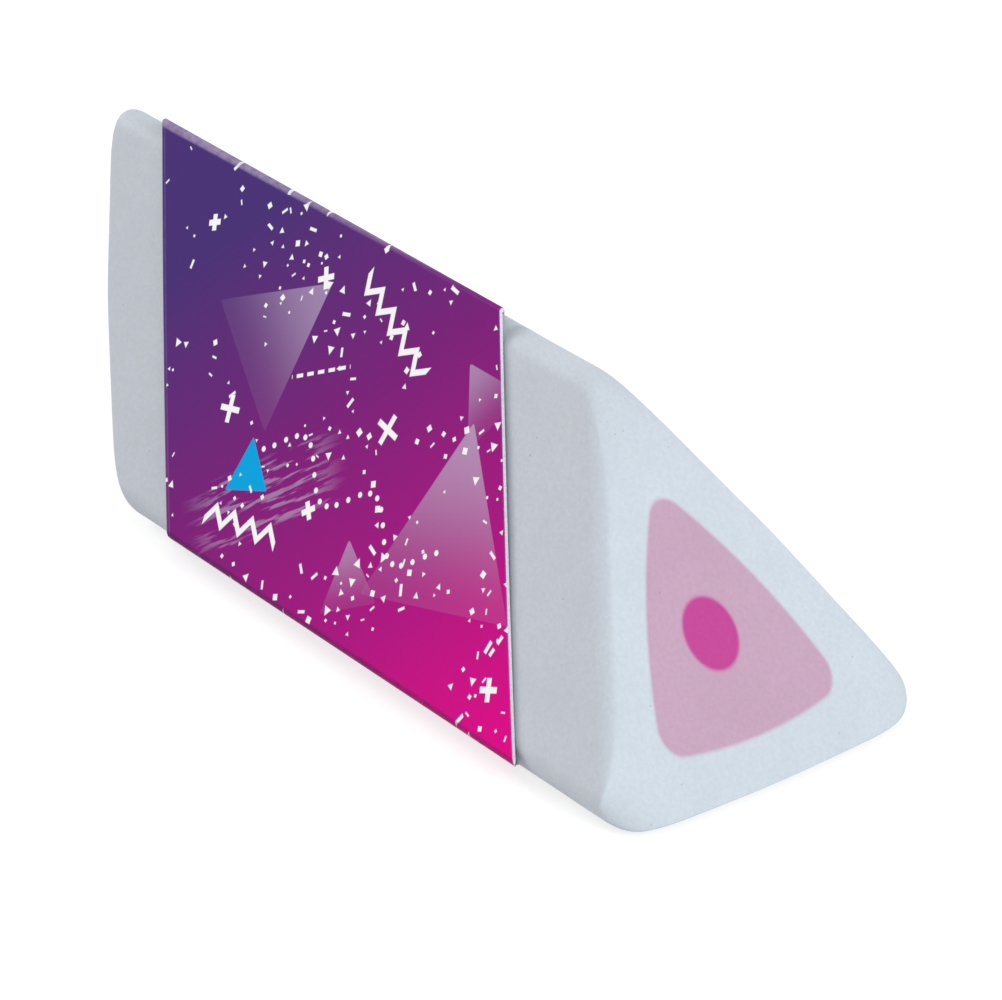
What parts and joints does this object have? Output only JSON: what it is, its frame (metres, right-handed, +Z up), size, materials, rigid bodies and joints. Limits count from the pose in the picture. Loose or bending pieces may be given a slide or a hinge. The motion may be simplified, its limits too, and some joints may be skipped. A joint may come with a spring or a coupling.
{
  "type": "three-sided eraser",
  "caption": "Triangular vinyl eraser with leaning ends and a coloured core, in a printed card sleeve that slides along it and comes off for rubbing.",
  "frame": {"origin": "on the underside of the card sleeve, straight below the middle of the eraser block", "axes": "+X along the ridges towards the end that is bared for rubbing, +Z up to the top ridge, +Y to the back panel that holds the glue flap"},
  "size_m": [0.0558, 0.0197, 0.018],
  "materials": {
    "white_vinyl": "matte",
    "pink_vinyl": "matte",
    "magenta_vinyl": "matte",
    "printed_card": "satin",
    "glue": "satin"
  },
  "bodies": {
    "eraser": {"eraser_body": "white_vinyl", "tint_core": "pink_vinyl", "centre_core": "magenta_vinyl"},
    "sleeve": {"card_sleeve": "printed_card", "glue_strip": "glue"}
  },
  "joints": [
    {"name": "sleeve_slide", "type": "slide", "parent": "eraser", "child": "sleeve", "axis": [1, 0, 0], "range_m": [-0.038, 0.039]}
  ]
}
